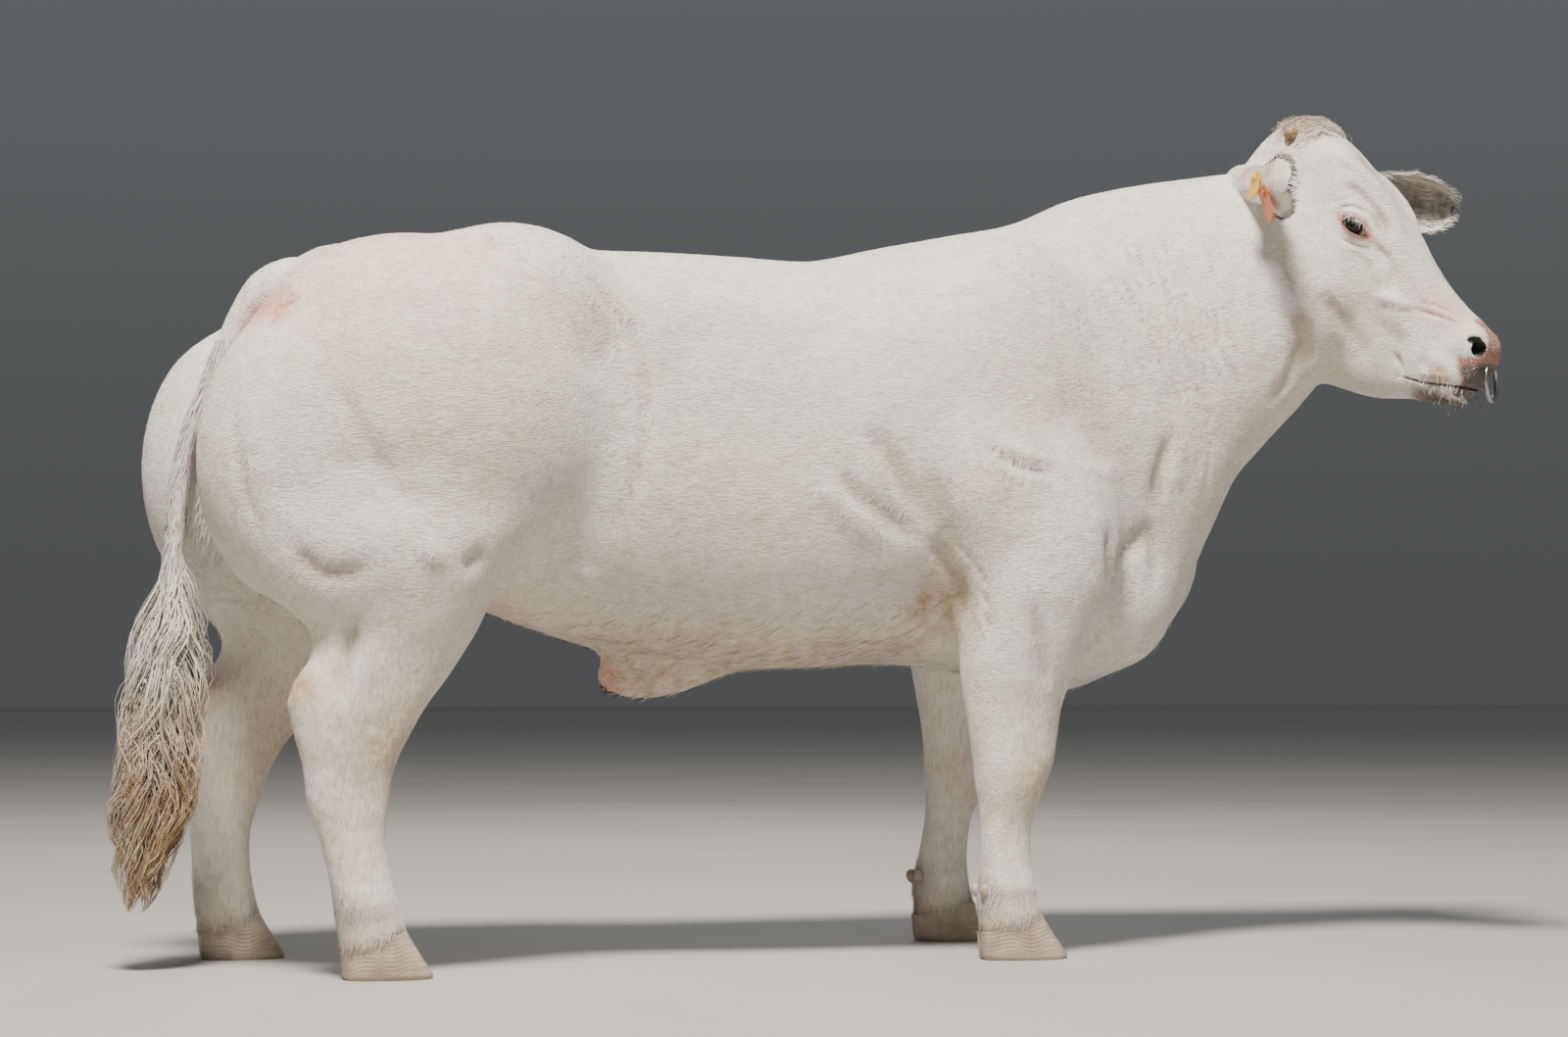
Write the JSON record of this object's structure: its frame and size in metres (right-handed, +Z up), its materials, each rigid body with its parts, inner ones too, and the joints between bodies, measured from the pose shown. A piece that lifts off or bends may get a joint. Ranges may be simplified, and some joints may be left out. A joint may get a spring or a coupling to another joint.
{
  "type": "cattle figure",
  "caption": "Life-size standing model of a young double-muscled white beef bull, head turned to its right, with nose ring and blank ear tags",
  "frame": {"origin": "middle of the bounding box, on the floor plane", "axes": "+X towards the head, +Y to the animal's left, +Z up"},
  "size_m": [2.3684, 0.6848, 1.4618],
  "materials": {
    "short_cream_hair": "short dense cream coat",
    "long_tail_hair": "long wavy hair, cream to golden ochre",
    "claw_horn": "dull grey-brown claw horn",
    "horn_bud": "rough ochre horn",
    "eyeball": "wet dark eye",
    "polished_steel": "worn bright steel",
    "orange_tag_plastic": "satin flexible plastic",
    "yellow_tag_plastic": "satin flexible plastic"
  },
  "bodies": {
    "root": {"claw_foreleg_left_inner": "claw_horn", "claw_foreleg_left_outer": "claw_horn", "claw_foreleg_right_inner": "claw_horn", "claw_foreleg_right_outer": "claw_horn", "claw_hindleg_left_inner": "claw_horn", "claw_hindleg_left_outer": "claw_horn", "claw_hindleg_right_inner": "claw_horn", "claw_hindleg_right_outer": "claw_horn", "dewclaw_foreleg_left_inner": "claw_horn", "dewclaw_foreleg_left_outer": "claw_horn", "dewclaw_foreleg_right_inner": "claw_horn", "dewclaw_foreleg_right_outer": "claw_horn", "dewclaw_hindleg_left_inner": "claw_horn", "dewclaw_hindleg_left_outer": "claw_horn", "dewclaw_hindleg_right_inner": "claw_horn", "dewclaw_hindleg_right_outer": "claw_horn", "ear_left": "short_cream_hair", "ear_right": "short_cream_hair", "ear_tag_orange": "orange_tag_plastic", "ear_tag_yellow": "yellow_tag_plastic", "eye_left": "eyeball", "eye_right": "eyeball", "foreleg_left_lower": "short_cream_hair", "foreleg_left_upper": "short_cream_hair", "foreleg_right_lower": "short_cream_hair", "foreleg_right_upper": "short_cream_hair", "head": "short_cream_hair", "hindleg_left_lower": "short_cream_hair", "hindleg_left_upper": "short_cream_hair", "hindleg_right_lower": "short_cream_hair", "hindleg_right_upper": "short_cream_hair", "horn_bud_left": "horn_bud", "horn_bud_right": "horn_bud", "neck": "short_cream_hair", "nose_ring": "polished_steel", "scrotum": "short_cream_hair", "tail": "short_cream_hair", "tail_switch": "long_tail_hair", "torso": "short_cream_hair"}
  },
  "joints": []
}
